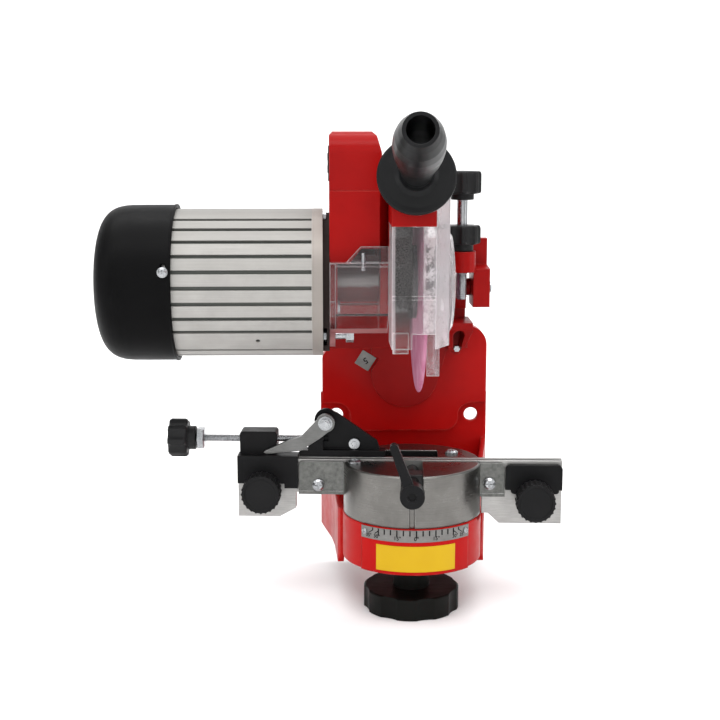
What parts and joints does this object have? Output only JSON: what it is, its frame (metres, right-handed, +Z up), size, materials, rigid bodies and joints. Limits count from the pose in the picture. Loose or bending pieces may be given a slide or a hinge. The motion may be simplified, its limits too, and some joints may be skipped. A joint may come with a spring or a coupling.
{
  "type": "electric chain sharpener",
  "caption": "Wall or bench mounted electric chain sharpener: motor and grinding head hinged on a tilting column, above a swivelling chain vise with an adjustable stop.",
  "frame": {"origin": "midpoint between the two wall bolt holes, on the wall face of the back plate", "axes": "+X to the right along the vise rail and the motor shaft, +Y towards the wall, +Z up"},
  "size_m": [0.3052, 0.2737, 0.3295],
  "materials": {
    "red_paint": "gloss powder coat",
    "dial_metal": "satin printed plate",
    "zinc": "bright zinc plate",
    "yellow_plate": "plain yellow lacquer",
    "dark_steel": "blackened",
    "spring_steel": "oiled wire",
    "black_plastic": "satin moulded",
    "gloss_black": "gloss moulded",
    "cast_aluminium": "satin cast",
    "bar_aluminium": "satin extruded",
    "copper_wire": "varnished",
    "bright_steel": "brushed",
    "pink_abrasive": "granular",
    "clear_plastic": "clear moulded",
    "turned_aluminium": "fine turned",
    "jaw_steel": "plain rolled",
    "galvanised": "mottled zinc",
    "black_metal": "satin black paint"
  },
  "bodies": {
    "bracket": {"base_bracket": "red_paint", "dial_plate": "dial_metal", "dial_rivets": "zinc", "front_label": "yellow_plate", "tilt_scale": "dial_metal"},
    "column": {"column": "red_paint", "tilt_bolt": "zinc", "tilt_nut": "zinc", "tilt_lock_screw": "zinc", "hinge_pin": "zinc", "hinge_clips": "dark_steel", "return_spring": "spring_steel"},
    "head": {"head_casting": "red_paint", "switch_cover": "red_paint", "cover_screws": "zinc", "switch_frame": "black_plastic", "cord_gland": "black_plastic", "motor_flange": "cast_aluminium", "motor_housing": "bar_aluminium", "rear_shield": "cast_aluminium", "end_cap": "black_plastic", "cap_screws": "zinc", "flange_screws": "zinc", "stator_core": "dark_steel", "windings": "copper_wire", "motor_bearings": "bright_steel", "arbor_tube": "cast_aluminium", "wheel_guard": "red_paint", "front_window": "clear_plastic", "hub_cover": "clear_plastic", "guard_flap": "clear_plastic", "side_shield": "clear_plastic", "shield_bolt": "zinc", "handle_grip": "gloss_black", "handle_stud": "zinc"},
    "rocker": {"rocker_switch": "gloss_black"},
    "spindle": {"rotor_core": "dark_steel", "rotor_shaft": "bright_steel", "cooling_fan": "black_plastic", "wheel_flanges": "bright_steel", "grinding_wheel": "pink_abrasive", "spindle_nut": "zinc"},
    "depth_screw": {"depth_rod": "zinc"},
    "depth_lock": {"depth_lock_knob": "black_plastic"},
    "turntable": {"drum": "turned_aluminium", "drum_screws": "zinc", "rear_jaw": "jaw_steel", "clamp_nut": "dark_steel", "rail_covers": "black_plastic"},
    "clamp_jaw": {"front_jaw": "jaw_steel", "jaw_brackets": "galvanised", "bracket_screws": "zinc"},
    "clamp_handle": {"clamp_lever": "black_metal"},
    "stop_spindle": {"stop_screw": "zinc"},
    "stop_carriage": {"stop_slide": "black_metal", "slide_bolts": "zinc"},
    "stop_finger": {"stop_pawl": "bright_steel"},
    "left_thumb": {"left_thumb_knob": "black_plastic"},
    "right_thumb": {"right_thumb_knob": "black_plastic"},
    "base_lock": {"base_lock_knob": "black_plastic"}
  },
  "joints": [
    {"name": "head_tilt", "type": "hinge", "parent": "bracket", "child": "column", "pos_m": [0, -0.015, 0.033], "axis": [0, 1, 0], "range_deg": [0, 35]},
    {"name": "head_swing", "type": "hinge", "parent": "column", "child": "head", "pos_m": [0, -0.021, 0.0974], "axis": [1, 0, 0], "range_deg": [0, 26], "stiffness_Nm_per_rad": 8, "springref_deg": -51.57},
    {"name": "rocker_tilt", "type": "hinge", "parent": "head", "child": "rocker", "pos_m": [-0.051, -0.102, 0.1874], "axis": [0, 0, 1], "range_deg": [-10, 0]},
    {"name": "wheel_spin", "type": "hinge", "parent": "head", "child": "spindle", "pos_m": [0.0031, -0.102, 0.1104], "axis": [1, 0, 0], "continuous": true},
    {"name": "depth_adjust", "type": "slide", "parent": "head", "child": "depth_screw", "axis": [0, 0, 1], "range_m": [-0.0035, 0.012]},
    {"name": "depth_lock_turn", "type": "hinge", "parent": "head", "child": "depth_lock", "pos_m": [0.0374, -0.0462, 0.13], "axis": [0, 0, 1], "range_deg": [0, 180]},
    {"name": "vise_swivel", "type": "hinge", "parent": "bracket", "child": "turntable", "pos_m": [0, -0.102, -0.0096], "axis": [0, 0, 1], "range_deg": [-31.5, 38.5]},
    {"name": "lever_turn", "type": "hinge", "parent": "turntable", "child": "clamp_handle", "pos_m": [-0.00293, -0.14991, -0.0166], "axis": [0.061, 0.9981, 0], "range_deg": [0, 60]},
    {"name": "jaw_close", "type": "slide", "parent": "turntable", "child": "clamp_jaw", "axis": [0.061, 0.9981, 0], "range_m": [0, 0.0002094]},
    {"name": "stop_screw_turn", "type": "hinge", "parent": "turntable", "child": "stop_spindle", "pos_m": [-0.11948, -0.08978, 0.0032], "axis": [0.9981, -0.061, 0], "range_deg": [0, 2700]},
    {"name": "stop_slide_travel", "type": "slide", "parent": "turntable", "child": "stop_carriage", "axis": [0.9981, -0.061, 0], "range_m": [0, 0.006]},
    {"name": "finger_lift", "type": "hinge", "parent": "stop_carriage", "child": "stop_finger", "pos_m": [-0.05797, -0.09976, 0.0154], "axis": [0.061, 0.9981, 0], "range_deg": [0, 38]},
    {"name": "left_thumb_turn", "type": "hinge", "parent": "turntable", "child": "left_thumb", "pos_m": [-0.10051, -0.11389, -0.028], "axis": [0.061, 0.9981, 0], "range_deg": [0, 360]},
    {"name": "right_thumb_turn", "type": "hinge", "parent": "turntable", "child": "right_thumb", "pos_m": [0.07995, -0.12492, -0.0322], "axis": [0.061, 0.9981, 0], "range_deg": [0, 360]},
    {"name": "base_lock_turn", "type": "hinge", "parent": "bracket", "child": "base_lock", "pos_m": [0, -0.102, -0.1], "axis": [0, 0, 1], "range_deg": [0, 180]}
  ],
  "couplings": [
    {"joint": "lever_turn", "follows": "jaw_close", "rad_per_m": 5000},
    {"joint": "stop_screw_turn", "follows": "stop_slide_travel", "rad_per_m": 7853.9}
  ]
}
